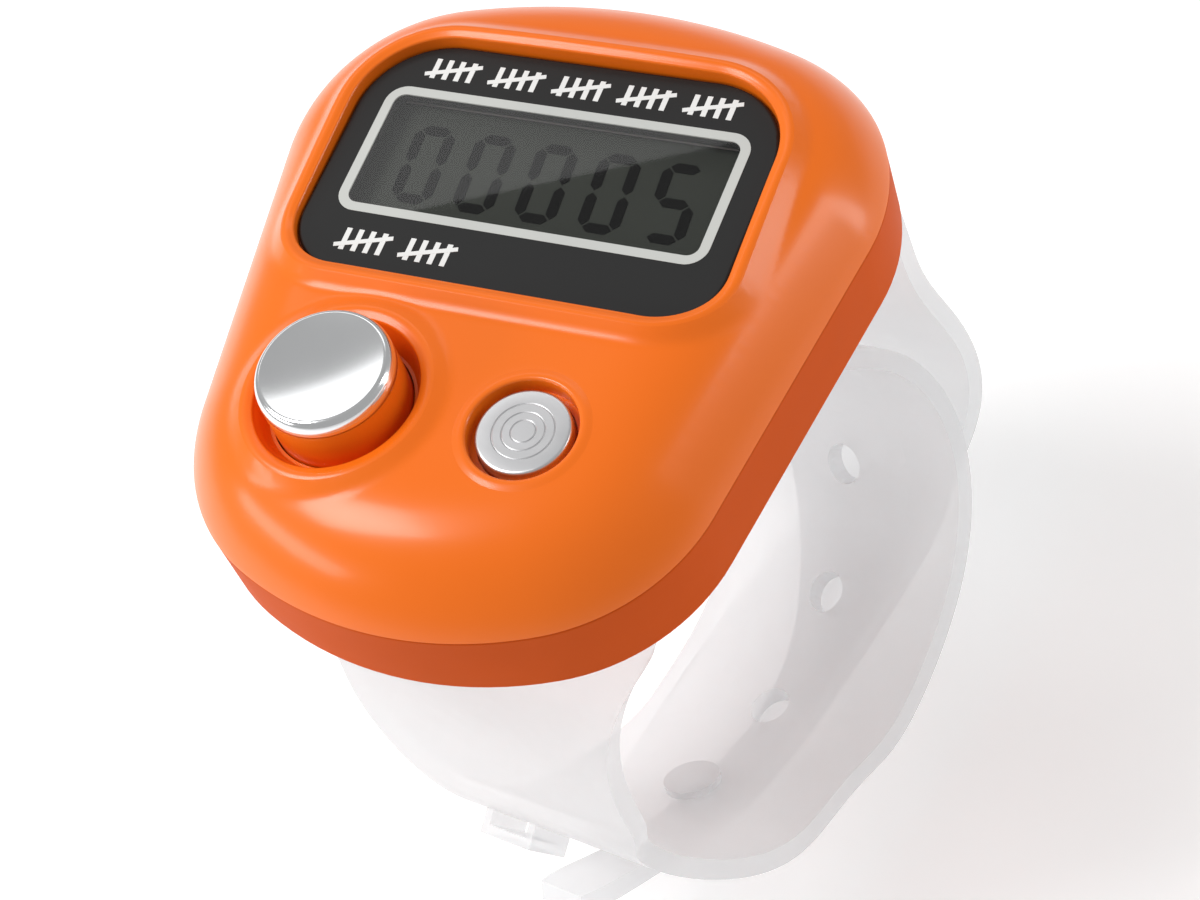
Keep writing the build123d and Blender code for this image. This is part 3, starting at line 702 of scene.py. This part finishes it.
def top_shell():
    """Glossy upper half: broad soft shoulder, raised lip round the panel, a crater and a well."""
    solid = Solid()
    rim = solid.loop(np.c_[CASE_LOOP, np.full(len(CASE_LOOP), PARTING_Z)])
    offsets = [-FIRST_RING * k**RING_GROWTH for k in range(1, SHOULDER_RINGS + 1)]
    outer = edge_chain(solid, CASE_LOOP, rim, offsets, lifted)
    inner = edge_chain(solid, CASE_LOOP, rim, offsets[LINING_RINGS_SKIPPED:], lined, flip=True)
    recess = [
        (0, RECESS_FLOOR_Z),
        (RECESS_LEDGE, RECESS_FLOOR_Z),
        (RECESS_LEDGE, RECESS_FLOOR_Z - RECESS_FLOOR_T),
    ]
    count_bore = CRATER_R - COUNT_R - BORE_GAP
    crater = CRATER_WALL + [(count_bore, CRATER_FLOOR_Z), (count_bore, CRATER_FLOOR_Z - WALL)]
    reset_bore = WELL_R - RESET_R - BORE_GAP
    well = [(0, WELL_FLOOR_Z), (reset_bore, WELL_FLOOR_Z), (reset_bore, WELL_FLOOR_Z - WELL_FLOOR_T)]
    features = []
    linings = []
    for flat, profile, rings in (
        (PANEL_LOOP, recess, 6),
        (circle_points(COUNT_CENTRE, CRATER_R), crater, 6),
        (circle_points(RESET_CENTRE, WELL_R), well, 5),
    ):
        edge = relief(flat + outward(flat) * HOLE_EDGE_R)
        top, bottom = hole_wall(solid, flat, profile, edge)
        steps = [LIP_RING_STEP * k for k in range(1, rings + 1)]
        features.append(edge_chain(solid, top[0], top[1], steps, lifted))
        linings.append(bottom)
    solid.patch(outer, features, lifted, SKIN_SPACING)
    solid.patch(inner, linings, lined, LINING_SPACING, flip=True)
    made = solid.piece("top_shell_skin", MATERIALS["orange_gloss"], "case", SHELL_SHARP)
    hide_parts("top_shell")


# ------------------------------------------------------------------ button caps
def count_button():
    """Chrome cap, dished and softly rounded at its rim."""
    base_z = COUNT_TOP_Z - COUNT_CAP_HEIGHT
    foot_inset, foot_r = 0.3, 0.12
    side_r, side_z, side_steps = 0.42, 0.75, 10
    dish_depth, dish_gap, dish_centre_r, dish_steps = 0.22, 0.06, 0.2, 20
    rim = COUNT_R - side_r
    profile = [(0, base_z), (COUNT_R - foot_inset, base_z)]
    profile += rounded((COUNT_R, base_z), (COUNT_R - 1, base_z), (COUNT_R, base_z + 1), foot_r)
    for k in range(side_steps + 1):
        turn = pi / 2 * k / side_steps
        profile.append((rim + side_r * cos(turn), COUNT_TOP_Z - side_z + side_z * sin(turn)))
    for radius in np.linspace(rim - dish_gap, dish_centre_r, dish_steps):
        profile.append((radius, COUNT_TOP_Z - dish_depth * (1 - (radius / rim) ** 2)))
    profile.append((0, COUNT_TOP_Z - dish_depth))
    turned = lathe(profile, COUNT_CENTRE)
    cap = turned.piece("count_cap_skin", MATERIALS["bright_chrome"], "count_button")
    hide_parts("count_cap")


def reset_button():
    """Flat satin cap with a rounded edge and three fine turned circles."""
    base, top = (corner.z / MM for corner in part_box("reset_cap"))
    edge_r, centre_r = 0.2, 0.2
    circles, groove_half, groove_depth = (1.62, 1.12, 0.65), 0.05, 0.03
    profile = [(0, base), (RESET_R, base)]
    profile += rounded((RESET_R, top), (RESET_R, top - 1), (RESET_R - 1, top), edge_r)
    for circle_r in circles:
        profile += [
            (circle_r + groove_half, top),
            (circle_r, top - groove_depth),
            (circle_r - groove_half, top),
        ]
    profile += [(centre_r, top), (0, top)]
    turned = lathe(profile, RESET_CENTRE)
    cap = turned.piece("reset_cap_skin", MATERIALS["satin_silver"], "reset_button")
    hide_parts("reset_cap")


# ------------------------------------------------------------------ generic printed marks
def mark(solid, start, end, width, z=PANEL_FACE_Z):
    """One printed stroke, a thin raised bar between two points of the panel."""
    start, end = np.array(start, float), np.array(end, float)
    along = (end - start) / np.linalg.norm(end - start)
    side = np.array((-along[1], along[0])) * width / 2
    corners = [start - side, end - side, end + side, start + side]
    solid.prism(corners, z - MARK_HALF_T, z + MARK_HALF_T)


def tally(solid, x, y, height):
    """Upright strokes crossed by one more, a little higher so that the faces don't share a plane."""
    for k in range(STROKES):
        place = x + STROKE_PITCH * k
        mark(solid, (place, y - height / 2), (place, y + height / 2), STROKE_WIDTH)
    start = (x - CROSS_OVERHANG, y - height * CROSS_SLOPE)
    end = (x + (STROKES - 1) * STROKE_PITCH + CROSS_OVERHANG, y + height * CROSS_SLOPE)
    mark(solid, start, end, CROSS_WIDTH, PANEL_FACE_Z + CROSS_RAISE)


def panel_marks():
    """Tally strokes above and below the window, in place of its printed words."""
    solid = Solid()
    for k in range(HEAD_TALLIES):
        tally(solid, HEAD_X + TALLY_PITCH * k, HEAD_Y, HEAD_HEIGHT)
    for k in range(FOOT_TALLIES):
        tally(solid, FOOT_X + TALLY_PITCH * k, FOOT_Y, FOOT_HEIGHT)
    made = solid.piece("panel_marks", MATERIALS["white_print"], "case")


# ------------------------------------------------------------------ lights, floor and camera
def area_light(name, place, target, size, power):
    """Soft rectangular light aimed at a point."""
    data = bpy.data.lights.new(name, "AREA")
    data.shape = "RECTANGLE"
    data.size, data.size_y = size[0] * MM, size[1] * MM
    data.energy = power
    made = bpy.data.objects.new(name, data)
    bpy.context.scene.collection.objects.link(made)
    made.location = Vector(place) * MM
    made.rotation_mode = "QUATERNION"
    made.rotation_quaternion = (Vector(target) - Vector(place)).to_track_quat("-Z", "Y")
    return made


def back_light():
    """Soft box behind, placed so that its mirror image in the window ends on a slanting line."""
    face_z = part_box("window_lens")[1].z / MM
    mirrored = Vector((*CAMERA_PLACE[:2], 2 * face_z - CAMERA_PLACE[2]))
    low_end = mirrored + (Vector((*GLARE_LOW_END, face_z)) - mirrored) * BACK_BOX_REACH
    high_end = mirrored + (Vector((*GLARE_HIGH_END, face_z)) - mirrored) * BACK_BOX_REACH
    along = (high_end - low_end).normalized()
    beyond = Vector((-along.y, along.x, 0))
    centre = (low_end + high_end) / 2 + beyond * BACK_BOX_SIZE[1] / 2
    below = centre - Vector((0, 0, 1))
    made = area_light("back", centre, below, BACK_BOX_SIZE, BACK_BOX_POWER)
    made.rotation_quaternion = Matrix((along, beyond, (0, 0, 1))).transposed().to_quaternion()


def pale_floor():
    """Plain pale floor with a slight glow, at the lowest point of the part."""
    low = CAD_BOX[0][2]
    corners = [(-1, -1), (1, -1), (1, 1), (-1, 1)]
    mesh = bpy.data.meshes.new("floor")
    mesh.from_pydata([(FLOOR_HALF * x, FLOOR_HALF * y, low) for x, y in corners], [], [(0, 1, 2, 3)])
    floor = bpy.data.objects.new("floor", mesh)
    bpy.context.scene.collection.objects.link(floor)
    white, pale = (1, 1, 1, 1), (0.9, 0.9, 0.9)
    finish = material("floor_pale", pale, 0.6, Emission_Color=white, Emission_Strength=FLOOR_GLOW)
    tone(finish, pale, (0.885, 0.885, 0.885), 4)
    mesh.materials.append(finish)


def studio():
    """Soft surrounding light and four soft boxes."""
    world = bpy.data.worlds.new("studio")
    bpy.context.scene.world = world
    world.use_nodes = True
    sky = world.node_tree.nodes["Background"]
    sky.inputs["Color"].default_value = (1, 1, 1, 1)
    sky.inputs["Strength"].default_value = SKY_STRENGTH
    for name, place, target, size, power in SOFT_BOXES:
        area_light(name, place, target, size, power)
    back_light()
    bpy.context.scene.view_settings.view_transform = "Standard"


def camera():
    """Camera at the photograph's angle, from above and to the right of the low end."""
    data = bpy.data.cameras.new("camera")
    data.lens = 84
    data.sensor_width = 36
    data.clip_start, data.clip_end = 0.01, 10
    made = bpy.data.objects.new("camera", data)
    bpy.context.scene.collection.objects.link(made)
    back = CAMERA_BACK.normalized()
    right = CAMERA_UP.cross(back).normalized()
    turn = Matrix((right, back.cross(right), back)).transposed().to_4x4()
    made.matrix_world = Matrix.Translation(CAMERA_PLACE * MM) @ turn
    bpy.context.scene.camera = made


paint_nodes()
display_plate()
silver_line()
top_shell()
count_button()
reset_button()
panel_marks()
pale_floor()
studio()
camera()
